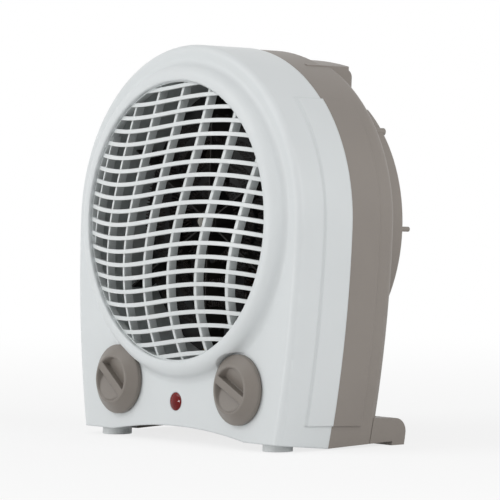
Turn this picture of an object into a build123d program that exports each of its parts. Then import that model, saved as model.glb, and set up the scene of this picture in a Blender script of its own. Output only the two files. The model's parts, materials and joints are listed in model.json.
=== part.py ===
from build123d import *
import os
from math import cos, pi, radians, sin, sqrt, tan

# Upright fan heater. All sizes are millimetres.
# The casing is drawn upright: x to the right, y from the outlet rim towards the back, z up.
# At the end every piece is leaned back together, and the origin is put under the middle of the box.

# Casing outline
LEAN = 2.75             # degrees that the casing leans back on its feet
ARCH_R = 111.2          # round top of the casing
AXIS_Z = 140.6          # height of the fan axis, and of the arch centre
BOTTOM_HALF = 96.6      # half width of the casing at z = 0
SKIRT_Z = 5.5           # lower edge of the casing at its front
SKIRT_DIP = 2.2         # and this much lower at the seam
WALL = 2.5
FLOOR_Z = 14.5          # top of the floor inside the casing
FRONT_Y = 9.5           # front panel
PART_Y = 51.5           # seam between the front and the rear casing
BACK_Y = 90.6           # rear wall
FRONT_EDGE_R = 4.5
BACK_EDGE_R = 7.5
SEAM_STEP = 0.6         # the rear casing is this much smaller all round

# Raised side panels, across the seam
PANEL_T = 1.4
PANEL_SLOPE = 1.8       # chamfer of their front and rear ends, which runs into the casing
PANEL_Z0 = 17.5
PANEL_Z1 = 220.0
PANEL_FRONT_Y = 28.8
PANEL_BACK_Y = 76.4

# Outlet ring on the front panel
OPENING_R = 88.0
RING_LIP = 3.0          # depth of the ring's inner lip
RING_ROUND = 1.2
RING_CREST_R = 90.0
RING_KNEE_R = 98.2      # where the ring's round side turns into the panel
RING_KNEE_Y = 5.6
RING_FOOT_R = 102.8
RING_SEAT_R = 92.7      # room behind the lip for the grille's rim
RING_SKIN = 2.3

# Outlet grille
BULGE = 17.6            # rise of the dome over its rim
ROW_PITCH = 8.5
ROW_COUNT = 21
ROW_H = 2.6
ROW_T = 2.6
ROW_SWAY = 4.3
ROW_WAVE = 98.0         # half a wave of the sway
COLUMN_PITCH = 24.7
COLUMN_COUNT = 7
COLUMN_SHIFT = -7.7
COLUMN_W = 2.2
COLUMN_T = 5.6
COLUMN_SWAY = 10.7
COLUMN_WAVE = 122.7
LAYER_LAP = 1.0         # the columns reach this far into the rows
RIM_W = 3.3
RIM_T = 5.3
RIM_PLAY = 0.2

# Arched lower edge of the front panel
CUTOUT_HALF = 66.0
CUTOUT_RISE = 5.7

# Controls
KNOB_X = 60.0
KNOB_Z = 37.6
KNOB_R = 22.1
KNOB_SKIRT = 2.6
KNOB_FACE_R = 15.2
KNOB_FACE_Y = 1.0
KNOB_GAP = 0.4          # between the knob and the panel
KNOB_WALL = 1.8
KNOB_BOSS_R = 5.6
SCOOP_DEPTH = 4.6       # beside the grip bar
SCOOP_RIM_DEPTH = 0.5   # and at the outer edge
SCOOP_R = 14.0
SCOOP_FLOOR_R = 11.5    # the scoops narrow to this at their deepest
GRIP_HALF = 2.6         # half width of the grip bar
MODE_ANGLE = -37.5      # slant of each grip bar at rest
THERMOSTAT_ANGLE = -25.5
POCKET_PLAY = 1.1       # between the knob and its pocket in the ring
POCKET_WALL = 1.5
SPINDLE_R = 3.0
SPINDLE_FIT = 0.04
SPINDLE_HOLE_R = 4.2
SPINDLE_TIP_Y = 6.8
SWITCH_HALF = 15.5
SWITCH_BACK_Y = 37.0
EAR_Y = 20.0
EAR_T = 2.4
EAR_X = 19.5
EAR_POST_R = 3.2
LAMP_X = -2.8
LAMP_Z = 26.6
LAMP_R = 5.7
LAMP_PLAY = 0.1
LAMP_FLANGE_R = 7.3
LAMP_FLANGE_T = 1.4
LAMP_PROUD = 1.3
LAMP_HOLDER_R = 4.6
LAMP_HOLDER_L = 17.0

# Screws
PILOT_R = 1.6
SCREW_R = 1.55
SCREW_PLAY = 0.2        # screw holes that only let a screw pass
SCREW_HEAD_R = 3.2
SCREW_HEAD_H = 2.2
SCREW_L = 14.0
SMALL_SCREW_L = 7.5

# Posts that join the two casings
POST_R = 4.6
POST_RING_R = 98.5      # distance of the upper posts from the fan axis
LOW_POST = (92.0, 62.0)
POST_WELL_R = 3.6
POST_WELL_FLOOR = 5.0

# Duct, shroud and element
DUCT_R = 88.0
DUCT_T = 0.8
DUCT_FLANGE_R = 96.5
SHROUD_T = 2.3
SHROUD_PLAY = 0.4
SHROUD_BOTTOM_Z = 55.0
FAN_HOLE_R = 66.0
COLLAR_T = 2.0
COLLAR_L = 6.0
PILLAR_X = 75.0
PILLAR_R = 4.6
ELEMENT_Y0 = 28.0
ELEMENT_Y1 = 44.0
MICA_T = 1.0
MICA_ARMS = 6
MICA_PLAY = 0.1
BUSH_R = 7.0
BUSH_OVER = 1.5         # the ceramic bush stands this far out of the mica
BOLT_R = 2.5
NUT_R = 4.4
NUT_H = 3.2
COIL_RADII = (24.0, 38.0, 52.0, 66.0)
COIL_R = 2.0
COIL_PLAY = 0.2
COIL_GAP = 4.0          # half the gap between the two layers of coils
TAB_W = 5.0
TAB_T = 0.8
TAB_IN = 8.0            # length of a terminal tab inside the duct
TAB_OUT = 9.0           # and outside it
CUTOUT_R = 4.2
CUTOUT_H = 5.0
CUTOUT_RING = 59.0

# Fan and motor
FAN_R = 62.0
FAN_FRONT_Y = 54.5
FAN_L = 13.5
FAN_HUB_R = 13.0
FAN_BLADES = 7
BLADE_T = 1.6
BLADE_ROOT = 11.0       # chord at the hub
BLADE_TIP = 41.0        # and at the tip
BLADE_PITCH = 17.0
SHAFT_R = 2.5
SHAFT_FIT = 0.03
STRAP_Y = 71.5
STRAP_T = 1.5
STRAP_H = 22.0
STRAP_OVER = 7.0
BRACKET_T = 1.4
BRACKET_W = 40.0
BRACKET_H = 13.0
BRACKET_LEG = 4.6
BEARING_R = 5.0
BEARING_L = 5.0
CORE_W = 48.0
CORE_T = 18.0
CORE_TOP = 23.0         # reach of the laminations above and below the shaft
CORE_BOTTOM = 45.0
CORE_LIMB = 10.0
CORE_WINDOW_TOP = 18.0
ROTOR_R = 12.4
ROTOR_GAP = 0.4
ROTOR_INSET = 1.0
WINDING_T = 6.0
WINDING_PLAY = 0.1

# Rear drum, handle, pegs and feet
DRUM_R = 92.9
DRUM_Y = 110.0
DRUM_EDGE_R = 1.6
RIM_R = 93.9            # raised rim round the drum, open at the handle
RIM_DEPTH = 14.0
RIM_OPEN_HALF = 57.0
CATCH_R = 2.4           # catches on the rim
CATCH_L = 7.0
CATCH_TURN = 49.0
CATCH_OVER = 1.2
INTAKE_R = 78.0
INTAKE_LAP = 4.0
INTAKE_T = 4.0
INTAKE_RING_W = 2.0
INTAKE_PITCH = 5.5
INTAKE_HUB_R = 13.0
INTAKE_SPOKES = 8
INTAKE_SPOKE_W = 3.0
LIP_Z = 246.6
LIP_HALF = 46.0
LIP_ARC_R = 227.0
LIP_T = 3.0
LIP_Y = 102.8
LIP_CORNER_R = 3.0
CHEEK_Y = 103.9         # rear end of the cheeks under the lip
CHEEK_ROUND = 5.0
STEP_Y = 80.0           # where the top drops to the lip
STEP_RUN = 9.0
GRIP_HALF_W = 43.0      # finger pocket under the lip
GRIP_FLOOR_Z = 225.0
GRIP_FRONT_Y = 66.0
GRIP_WALL = 2.0
PEG_R = 1.6
PEG_Y = 117.5
PEG_INSET = 3.0
HEEL_Y0 = 104.0
HEEL_Y1 = 114.6
HEEL_RISE = 4.3         # rise of the rear casing's lower edge from the seam to the heel
FOOT_TOP_Z = 22.4
FOOT_ROUND = 10.5
FOOT_W = 24.0
FOOT_X = 81.0
FOOT_Y = 24.5
FOOT_R = 9.4

# Supply
GLAND_Z = 30.0
GLAND_R = 5.5
GLAND_FLANGE_R = 7.5
GLAND_FLANGE_T = 2.0
GLAND_BORE_R = 3.4
BLOCK_SIZE = (32.0, 15.0, 16.0)
BLOCK_Y = 66.0
LEAD_R = 1.1
LEAD_BEND = 3.5

# Worked out from the sizes above
SIDE_DROP = ARCH_R - BOTTOM_HALF
SIDE_R = (SIDE_DROP ** 2 + AXIS_Z ** 2) / (2 * SIDE_DROP)
PANEL_IN_Y = FRONT_Y + WALL
SEAM_Z = SKIRT_Z - SKIRT_DIP
DUCT_FRONT_Y = RING_LIP + RIM_T + 2 * RIM_PLAY
DUCT_SCREW_R = DUCT_R + DUCT_T + SCREW_HEAD_R + SCREW_PLAY
DOME_R = (OPENING_R ** 2 + BULGE ** 2) / (2 * BULGE)
DOME_Y = RING_LIP + RIM_PLAY - BULGE + DOME_R
SHROUD_Y = PART_Y - SHROUD_T
STRAP_BACK_Y = STRAP_Y + STRAP_T
BRACKET_BACK_Y = STRAP_BACK_Y + BRACKET_T
CORE_Y = BRACKET_BACK_Y + BRACKET_LEG
CORE_BACK_Y = CORE_Y + CORE_T
REAR_BRACKET_Y = CORE_BACK_Y + BRACKET_LEG
SHAFT_END_Y = REAR_BRACKET_Y + BRACKET_T
COIL_Y = (ELEMENT_Y0 + ELEMENT_Y1) / 2
POST_DIAGONAL = POST_RING_R * sin(radians(45))
POSTS = [(side * x, z) for side in (-1, 1)
         for x, z in ((POST_DIAGONAL, AXIS_Z + POST_DIAGONAL), LOW_POST)]
KNOBS = {"mode": (-KNOB_X, MODE_ANGLE), "thermostat": (KNOB_X, THERMOSTAT_ANGLE)}
FAR = 4 * ARCH_R        # longer than any cut needs


def rod(radius, y0, y1, x=0.0, z=AXIS_Z):
    """Cylinder along y."""
    shape = Cylinder(radius, y1 - y0, align=(Align.CENTER, Align.CENTER, Align.MIN))
    return Pos(x, y0, z) * Rot(X=-90) * shape


def tube(outer, inner, y0, y1, x=0.0, z=AXIS_Z):
    """Hollow cylinder along y."""
    return rod(outer, y0, y1, x, z) - rod(inner, y0 - 1, y1 + 1, x, z)


def block(x0, x1, y0, y1, z0, z1):
    """Box between two corners."""
    middle = Pos((x0 + x1) / 2, (y0 + y1) / 2, (z0 + z1) / 2)
    return middle * Box(x1 - x0, y1 - y0, z1 - z0)


def slab(face, y0, y1):
    """A face drawn in x and z, made solid from y0 to y1."""
    return extrude(Plane.XZ.offset(-y1) * face, y1 - y0)


def across(points, x0, x1):
    """A polygon drawn in y and z, made solid from x0 to x1."""
    face = make_face(Polyline(*points, close=True))
    return extrude(Plane.YZ.offset(x0) * face, x1 - x0)


def turned(edges, x=0.0, z=AXIS_Z):
    """A closed profile of radius and y, turned about an axis along y."""
    return Pos(x, 0, z) * revolve(make_face(edges), Axis.Y)


def half_width(z, inset=0.0):
    """Half the width of the casing at a height below the fan axis."""
    return ARCH_R - SIDE_R + sqrt((SIDE_R - inset) ** 2 - (AXIS_Z - z) ** 2)


def outline(inset, bottom):
    """Front view of the casing: a round arch on two gently curved sides."""
    top = ARCH_R - inset
    middle = (AXIS_Z + bottom) / 2
    waist = half_width(middle, inset)
    foot = half_width(bottom, inset)
    return make_face([
        ThreePointArc((top, AXIS_Z), (0, AXIS_Z + top), (-top, AXIS_Z)),
        ThreePointArc((-top, AXIS_Z), (-waist, middle), (-foot, bottom)),
        Line((-foot, bottom), (foot, bottom)),
        ThreePointArc((foot, bottom), (waist, middle), (top, AXIS_Z)),
    ])


def front_arcs(shape, y):
    """Curved edges of a casing at one depth."""
    return shape.edges().filter_by_position(Axis.Y, y, y).filter_by(GeomType.CIRCLE)


def side_band(inset, y0, y1, sloped_y):
    """Raised panel on both sides, standing out of an outline, with a slope at one end."""
    band = slab(outline(inset - PANEL_T, SEAM_Z), y0, y1)
    band = chamfer(front_arcs(band, sloped_y), PANEL_SLOPE)
    return band & block(-FAR, FAR, y0 - 1, y1 + 1, PANEL_Z0, PANEL_Z1)


def room(inset, y0, y1, edge_r=0.0):
    """Space inside a casing, above and below its floor, with its front edge rounded if asked."""
    above = slab(outline(inset, FLOOR_Z), y0, y1)
    if edge_r:
        above = fillet(front_arcs(above, y0), edge_r)
    below = slab(outline(inset, SEAM_Z - 1), y0, y1)
    return above + (below & block(-FAR, FAR, y0 - 1, y1 + 1, -FAR, FLOOR_Z - WALL))


def below_ground():
    """Everything under the surface that the leaning casing stands on."""
    return Rot(X=LEAN) * block(-FAR, FAR, -FAR, FAR, -FAR, 0)


def ring_profile(hollow):
    """Section of the outlet ring; the filled one closes the hollow behind its skin."""
    knee = (RING_KNEE_R, RING_KNEE_Y)
    shoulder = (RING_CREST_R + 0.62 * (RING_KNEE_R - RING_CREST_R), 0.28 * RING_KNEE_Y)
    valley = (RING_KNEE_R + 0.28 * (RING_FOOT_R - RING_KNEE_R), 0.83 * FRONT_Y)
    skin_r = RING_KNEE_R - RING_SKIN
    edges = [
        Line((OPENING_R, RING_LIP), (OPENING_R, RING_ROUND)),
        ThreePointArc((OPENING_R, RING_ROUND), (OPENING_R + 0.3 * RING_ROUND, 0.3 * RING_ROUND),
                      (OPENING_R + RING_ROUND, 0)),
        Line((OPENING_R + RING_ROUND, 0), (RING_CREST_R, 0)),
        ThreePointArc((RING_CREST_R, 0), shoulder, knee),
        ThreePointArc(knee, valley, (RING_FOOT_R, FRONT_Y)),
        Line((RING_FOOT_R, FRONT_Y), (RING_FOOT_R, PANEL_IN_Y)),
    ]
    inner = [(skin_r, PANEL_IN_Y), (skin_r, 0.9 * FRONT_Y),
             (RING_SEAT_R, RING_LIP), (OPENING_R, RING_LIP)]
    if not hollow:
        inner = [(OPENING_R, PANEL_IN_Y), (OPENING_R, RING_LIP)]
    return edges + [Polyline((RING_FOOT_R, PANEL_IN_Y), *inner)]


def knob_pocket(x):
    """Floor and wall that close the ring behind a knob."""
    filled = turned(ring_profile(hollow=False))
    return filled & rod(KNOB_R + POCKET_PLAY + POCKET_WALL, -1, PANEL_IN_Y, x, KNOB_Z)


def ear_places(x):
    """Where a switch is screwed to the panel."""
    return [(x - EAR_X, KNOB_Z), (x + EAR_X, KNOB_Z)]


def front_shell():
    """White front casing with the outlet ring, knob pockets and screw posts."""
    shape = slab(outline(0, SEAM_Z), FRONT_Y, PART_Y)
    shape = fillet(front_arcs(shape, FRONT_Y), FRONT_EDGE_R)
    shape += side_band(0, PANEL_FRONT_Y, PART_Y, PANEL_FRONT_Y)
    shape -= across([(0, 0), (0, SKIRT_Z), (FRONT_Y, SKIRT_Z), (PART_Y, SEAM_Z), (PART_Y, 0)], -FAR, FAR)
    shape -= room(WALL, PANEL_IN_Y, PART_Y + 1, FRONT_EDGE_R - WALL)
    shape -= rod(RING_FOOT_R, FRONT_Y - 1, PANEL_IN_Y + 1)
    shape += turned(ring_profile(hollow=True))
    for x, _ in KNOBS.values():
        shape += knob_pocket(x)
        shape -= rod(KNOB_R + POCKET_PLAY, -1, FRONT_Y, x, KNOB_Z)
        shape -= rod(SPINDLE_HOLE_R, -1, PANEL_IN_Y + 1, x, KNOB_Z)
        for ear_x, ear_z in ear_places(x):
            shape += rod(EAR_POST_R, PANEL_IN_Y - 1, EAR_Y, ear_x, ear_z)
            shape -= rod(PILOT_R, PANEL_IN_Y, EAR_Y + 1, ear_x, ear_z)
    shape -= rod(LAMP_R + LAMP_PLAY, -1, PANEL_IN_Y + 1, LAMP_X, LAMP_Z)
    arc_r = (CUTOUT_HALF ** 2 + CUTOUT_RISE ** 2) / (2 * CUTOUT_RISE)
    shape -= rod(arc_r, FRONT_Y - 1, PANEL_IN_Y, 0, SKIRT_Z + CUTOUT_RISE - arc_r)
    for x, z in POSTS:
        shape += rod(POST_R, PANEL_IN_Y - 1, SHROUD_Y, x, z)
        shape -= rod(PILOT_R, SHROUD_Y - SCREW_L, SHROUD_Y + 1, x, z)
    return shape


def swaying_strip(start, along, across_sway, wave, width, reach):
    """Outline of a bar that sways about a straight line, drawn in x and z about the fan axis."""
    steps = [reach * k / 6 for k in range(-6, 7)]
    sides = []
    for edge in (-width / 2, width / 2):
        path = [(s, start + edge + across_sway * sin(pi * s / wave)) for s in steps]
        sides.append([p if along == "x" else (p[1], p[0]) for p in path])
    low, high = sides
    return make_face([Spline(*low), Line(low[-1], high[-1]), Spline(*high), Line(high[0], low[0])])


def dome_layer(outer, inner):
    """Part of the domed grille between two depths under its front."""
    middle = Pos(0, DOME_Y, AXIS_Z)
    layer = middle * Sphere(DOME_R - outer) - middle * Sphere(DOME_R - inner)
    return layer & rod(OPENING_R - RIM_PLAY, -2 * BULGE, DOME_Y)


def outlet_grille():
    """Domed outlet grille: swaying rows in front, deeper swaying columns behind, and a rim."""
    reach = 1.08 * OPENING_R
    rows = dome_layer(0, ROW_T)
    columns = dome_layer(ROW_T - LAYER_LAP, ROW_T - LAYER_LAP + COLUMN_T)
    pieces = []
    for k in range(ROW_COUNT):
        place = (k - (ROW_COUNT - 1) / 2) * ROW_PITCH
        strip = swaying_strip(place, "x", ROW_SWAY, ROW_WAVE, ROW_H, reach)
        pieces.append(rows & slab(Pos(0, AXIS_Z) * strip, -2 * BULGE, 2 * BULGE))
    for k in range(COLUMN_COUNT):
        place = (k - (COLUMN_COUNT - 1) / 2) * COLUMN_PITCH + COLUMN_SHIFT
        strip = swaying_strip(place, "z", COLUMN_SWAY, COLUMN_WAVE, COLUMN_W, reach)
        pieces.append(columns & slab(Pos(0, AXIS_Z) * strip, -2 * BULGE, 2 * BULGE))
    rim = tube(OPENING_R + RIM_W, OPENING_R - 0.5, RING_LIP, RING_LIP + RIM_T)
    return rim.fuse(*pieces)


def lip_segment(drop, half, y0, y1, bottom=GRIP_FLOOR_Z):
    """Region under the gently arched top of the handle lip."""
    arc = rod(LIP_ARC_R - drop, y0, y1, 0, LIP_Z - LIP_ARC_R)
    return arc & block(-half, half, y0, y1, bottom, AXIS_Z + ARCH_R)


def handle_lip():
    """Lip that the hand hooks under, with rounded rear corners."""
    lip = lip_segment(0, LIP_HALF, GRIP_FRONT_Y, LIP_Y) - lip_segment(LIP_T, FAR, 0, FAR)
    corners = lip.edges().filter_by_position(Axis.Y, LIP_Y, LIP_Y).filter_by(Axis.Z)
    if not corners:
        corners = lip.edges().filter_by(Axis.Z).group_by(Axis.Y)[-1]
    return fillet(corners, LIP_CORNER_R)


def drum_rim():
    """Raised rim at the drum's back, open under the handle, with two catches."""
    rim = rod(RIM_R, DRUM_Y - RIM_DEPTH, DRUM_Y)
    rim = fillet(rim.edges().group_by(Axis.Y)[-1], DRUM_EDGE_R)
    rim -= rod(DRUM_R - WALL / 2, 0, FAR)
    rim -= block(-RIM_OPEN_HALF, RIM_OPEN_HALF, 0, FAR, AXIS_Z, FAR)
    turn = radians(CATCH_TURN)
    reach = RIM_R - CATCH_R / 2
    for side in (-1, 1):
        rim += rod(CATCH_R, DRUM_Y - CATCH_L, DRUM_Y + CATCH_OVER,
                   side * reach * sin(turn), AXIS_Z + reach * cos(turn))
    return rim


def handle_cheeks():
    """Walls at both ends of the finger pocket, between the drum and the lip."""
    cheeks = lip_segment(LIP_T / 2, LIP_HALF, BACK_Y - WALL, CHEEK_Y, AXIS_Z)
    top_back = cheeks.edges().filter_by(GeomType.CIRCLE).sort_by(Axis.Y)[-1]
    cheeks = fillet(top_back, CHEEK_ROUND)
    cheeks -= block(-GRIP_HALF_W, GRIP_HALF_W, 0, FAR, 0, FAR)
    return cheeks - rod(DRUM_R - WALL, 0, FAR)


def rear_envelope():
    """Rear casing as a full block: body, side panels, drum and the drop to the handle lip."""
    shape = slab(outline(SEAM_STEP, SEAM_Z), PART_Y, BACK_Y)
    shape = fillet(front_arcs(shape, BACK_Y), BACK_EDGE_R)
    shape += side_band(SEAM_STEP, PART_Y, PANEL_BACK_Y, PANEL_BACK_Y)
    drum = rod(DRUM_R, BACK_Y - WALL, DRUM_Y)
    shape += fillet(drum.edges().group_by(Axis.Y)[-1], DRUM_EDGE_R)
    shape += drum_rim()
    crown_z = AXIS_Z + ARCH_R + 1
    drop = across([(STEP_Y - STEP_RUN / 2, crown_z), (STEP_Y + STEP_RUN / 2, GRIP_FLOOR_Z),
                   (LIP_Y + 1, GRIP_FLOOR_Z), (LIP_Y + 1, crown_z)], -LIP_HALF, LIP_HALF)
    return shape - (drop - lip_segment(0, FAR, 0, FAR))


def rear_foot(side):
    """Heel that runs back from a lower corner, flush with the side of the casing."""
    root_y = BACK_Y - 2 * WALL
    root_z = SEAM_Z + HEEL_RISE * (root_y - PART_Y) / (HEEL_Y0 - PART_Y)
    upright = FOOT_TOP_Z * tan(radians(LEAN))
    heel = across([(root_y, root_z), (HEEL_Y0, SEAM_Z + HEEL_RISE), (HEEL_Y0, 0), (HEEL_Y1, 0),
                   (HEEL_Y1 - upright, FOOT_TOP_Z), (root_y, FOOT_TOP_Z)], -FAR, FAR)
    heel = fillet(heel.edges().filter_by(Axis.X).sort_by(lambda e: e.center().Y + e.center().Z)[-1], FOOT_ROUND)
    inner = half_width(SEAM_Z) - FOOT_W
    heel &= block(min(side * inner, side * FAR), max(side * inner, side * FAR), 0, FAR, -FAR, FAR)
    heel &= slab(outline(SEAM_STEP, -FOOT_TOP_Z), 0, HEEL_Y1 + 1)
    return heel - below_ground()


def rear_shell():
    """Taupe rear casing with the intake drum, handle, wall pegs and rear feet."""
    envelope = rear_envelope()
    shape = envelope - room(SEAM_STEP + WALL, PART_Y - 1, BACK_Y - WALL)
    shape -= rod(DRUM_R - WALL, BACK_Y - 2 * WALL, DRUM_Y - WALL)
    shape -= across([(PART_Y, 0), (PART_Y, SEAM_Z), (HEEL_Y0, SEAM_Z + HEEL_RISE), (HEEL_Y0, 0)], -FAR, FAR)
    grip = GRIP_HALF_W + GRIP_WALL
    shape += envelope & block(-grip, grip, GRIP_FRONT_Y - GRIP_WALL, DRUM_Y,
                              GRIP_FLOOR_Z - GRIP_WALL, AXIS_Z + ARCH_R)
    shape += handle_lip()
    shape += handle_cheeks()
    shape -= lip_segment(LIP_T, GRIP_HALF_W, GRIP_FRONT_Y, FAR)
    shape -= rod(INTAKE_R, DRUM_Y - WALL - 1, DRUM_Y + 1)
    for side in (-1, 1):
        shape += rear_foot(side)
        shape += rod(PEG_R, DRUM_Y - WALL, PEG_Y, side * (DRUM_R - PEG_INSET))
    for x, z in POSTS:
        shape += rod(POST_R, PART_Y, BACK_Y - WALL / 2, x, z)
        shape -= rod(POST_WELL_R, PART_Y + POST_WELL_FLOOR, BACK_Y + 1, x, z)
        shape -= rod(PILOT_R + SCREW_PLAY, PART_Y - 1, BACK_Y, x, z)
    shape -= rod(GLAND_R, BACK_Y - 2 * WALL, BACK_Y + 1, 0, GLAND_Z)
    return shape


def intake_grille():
    """Intake disc: concentric rings on spokes, seated inside the drum."""
    y0 = DRUM_Y - WALL - INTAKE_T
    y1 = DRUM_Y - WALL
    shape = tube(INTAKE_R + INTAKE_LAP, INTAKE_R - INTAKE_RING_W, y0, y1)
    rings = [rod(INTAKE_HUB_R, y0, y1)]
    count = int((INTAKE_R - INTAKE_RING_W - INTAKE_HUB_R) / INTAKE_PITCH)
    for k in range(1, count + 1):
        outer = INTAKE_HUB_R + k * INTAKE_PITCH
        rings.append(tube(outer, outer - INTAKE_RING_W, y0, y1))
    for k in range(INTAKE_SPOKES):
        spoke = block(0, INTAKE_R, y0, y1, -INTAKE_SPOKE_W / 2, INTAKE_SPOKE_W / 2)
        rings.append(Pos(0, 0, AXIS_Z) * Rot(Y=360 * k / INTAKE_SPOKES) * spoke)
    return shape.fuse(*rings)


def front_feet():
    """Two short round feet under the front casing, flat on the ground."""
    feet = []
    for side in (-1, 1):
        foot = Pos(side * FOOT_X, FOOT_Y, -FOOT_R) * Cylinder(
            FOOT_R, FLOOR_Z - WALL + FOOT_R, align=(Align.CENTER, Align.CENTER, Align.MIN))
        feet.append(foot - below_ground())
    return Compound(children=feet)


def knob(x, angle):
    """Round knob with a sloped skirt and two half-moon scoops that leave a grip bar."""
    back = FRONT_Y - KNOB_GAP
    skirt = back - KNOB_SKIRT
    outside = [(0, back), (KNOB_R, back), (KNOB_R, skirt), (KNOB_FACE_R, KNOB_FACE_Y), (0, KNOB_FACE_Y)]
    shape = turned(Polyline(*outside, close=True), x, KNOB_Z)
    rims = shape.edges().filter_by(GeomType.CIRCLE).sort_by(Axis.Y)
    shape = fillet([rims[0], rims[1]], KNOB_WALL / 2)
    floor = KNOB_FACE_Y + SCOOP_DEPTH
    slope = (SCOOP_DEPTH - SCOOP_RIM_DEPTH) / (SCOOP_R - GRIP_HALF)
    far_z = 2 * SCOOP_R
    far_y = floor - slope * (far_z - GRIP_HALF)
    flare = (SCOOP_R - SCOOP_FLOOR_R) / SCOOP_DEPTH
    dish = turned(Polyline((0, far_y - 2), (SCOOP_R + flare * (KNOB_FACE_Y - far_y + 2), far_y - 2),
                           (SCOOP_FLOOR_R - flare, floor + 1), (0, floor + 1), close=True), 0, 0)
    for side in (-1, 1):
        wedge = across([(far_y - 1, side * GRIP_HALF), (floor, side * GRIP_HALF), (far_y, side * far_z),
                        (far_y - 1, side * far_z)], -far_z, far_z)
        shape -= Pos(x, 0, KNOB_Z) * Rot(Y=-angle) * (wedge & dish)
    hollow = [(0, back + 1), (KNOB_R - KNOB_WALL, back + 1), (KNOB_R - KNOB_WALL, skirt + KNOB_WALL),
              (SCOOP_R + 1.5 * KNOB_WALL, floor + KNOB_WALL), (0, floor + KNOB_WALL)]
    shape -= turned(Polyline(*hollow, close=True), x, KNOB_Z) - rod(KNOB_BOSS_R, 0, back + 2, x, KNOB_Z)
    return shape - rod(SPINDLE_R + SPINDLE_FIT, SPINDLE_TIP_Y - 0.2, back + 2, x, KNOB_Z)


def spindle(x):
    """Round spindle from a switch body into its knob."""
    return rod(SPINDLE_R, SPINDLE_TIP_Y, SWITCH_BACK_Y - 2 * EAR_T, x, KNOB_Z)


def spindle_bore(x):
    """Running hole for a spindle."""
    return rod(SPINDLE_R + SPINDLE_FIT, 0, SWITCH_BACK_Y - 2 * EAR_T + 0.3, x, KNOB_Z)


def ear_plate(x):
    """Plate with two screw holes that fixes a switch to the panel posts."""
    reach = EAR_X + EAR_POST_R
    shape = block(x - reach, x + reach, EAR_Y, EAR_Y + EAR_T, KNOB_Z - EAR_POST_R, KNOB_Z + EAR_POST_R)
    for ear_x, ear_z in ear_places(x):
        shape -= rod(PILOT_R + SCREW_PLAY, EAR_Y - 1, EAR_Y + EAR_T + 1, ear_x, ear_z)
    return shape


def mode_switch_body():
    """Square rotary switch with a front collar and rear contact tags."""
    x = KNOBS["mode"][0]
    shape = block(x - SWITCH_HALF, x + SWITCH_HALF, EAR_Y, SWITCH_BACK_Y, KNOB_Z - SWITCH_HALF, KNOB_Z + SWITCH_HALF)
    shape += ear_plate(x)
    shape += rod(SPINDLE_HOLE_R + 2, PANEL_IN_Y, EAR_Y, x, KNOB_Z)
    for k in range(4):
        tag_x = x + (k - 1.5) * SWITCH_HALF / 2
        shape += block(tag_x - TAB_W / 3, tag_x + TAB_W / 3, SWITCH_BACK_Y, SWITCH_BACK_Y + TAB_OUT,
                       KNOB_Z - TAB_T / 2, KNOB_Z + TAB_T / 2)
    return shape - spindle_bore(x)


def thermostat_body():
    """Round-cornered thermostat frame with an adjusting bush."""
    x = KNOBS["thermostat"][0]
    shape = block(x - SWITCH_HALF, x + SWITCH_HALF, EAR_Y, EAR_Y + 2 * EAR_T, KNOB_Z - SWITCH_HALF, KNOB_Z + SWITCH_HALF)
    shape = fillet(shape.edges().filter_by(Axis.Y), SWITCH_HALF / 4)
    shape += ear_plate(x)
    shape += rod(SPINDLE_HOLE_R + 2, PANEL_IN_Y, SWITCH_BACK_Y - EAR_T, x, KNOB_Z)
    shape += block(x - SWITCH_HALF, x - SWITCH_HALF / 2, EAR_Y, SWITCH_BACK_Y - EAR_T,
                   KNOB_Z - SWITCH_HALF / 2, KNOB_Z + SWITCH_HALF / 2)
    return shape - spindle_bore(x)


def thermostat_blade():
    """Bimetal blade that lies on the thermostat's contact tower."""
    x = KNOBS["thermostat"][0]
    y = SWITCH_BACK_Y - EAR_T
    shape = block(x - SWITCH_HALF, x + SWITCH_HALF, y, y + TAB_T, KNOB_Z - TAB_W, KNOB_Z + TAB_W)
    return shape + rod(TAB_W / 2, y, y + 2 * TAB_T, x + SWITCH_HALF - TAB_W, KNOB_Z)


def indicator_lens():
    """Round domed lens with a flange, pushed through the panel from behind."""
    front = FRONT_Y - LAMP_PROUD
    back = PANEL_IN_Y + LAMP_FLANGE_T
    dome_r = (LAMP_R ** 2 + LAMP_PROUD ** 2) / (2 * LAMP_PROUD)
    fall = dome_r - sqrt(dome_r ** 2 - LAMP_R ** 2 / 4)
    dome = ThreePointArc((0, front), (LAMP_R / 2, front + fall), (LAMP_R, FRONT_Y))
    rest = Polyline((LAMP_R, FRONT_Y), (LAMP_R, PANEL_IN_Y), (LAMP_FLANGE_R, PANEL_IN_Y),
                    (LAMP_FLANGE_R, back), (0, back), (0, front))
    return turned([dome, rest], LAMP_X, LAMP_Z)


def indicator_lamp():
    """Lamp holder behind the lens, with a collar against its flange."""
    y = PANEL_IN_Y + LAMP_FLANGE_T
    return rod(LAMP_HOLDER_R, y, y + LAMP_HOLDER_L, LAMP_X, LAMP_Z) + rod(LAMP_R, y, y + EAR_T, LAMP_X, LAMP_Z)


def ring_places(radius, count, start=90.0):
    """Evenly spread places round the fan axis."""
    turns = [radians(start + 360 * k / count) for k in range(count)]
    return [(radius * cos(t), AXIS_Z + radius * sin(t)) for t in turns]


def duct_screw_places():
    """Where the duct's flange is screwed to the shroud."""
    return ring_places(DUCT_SCREW_R, 3, 90)


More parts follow.
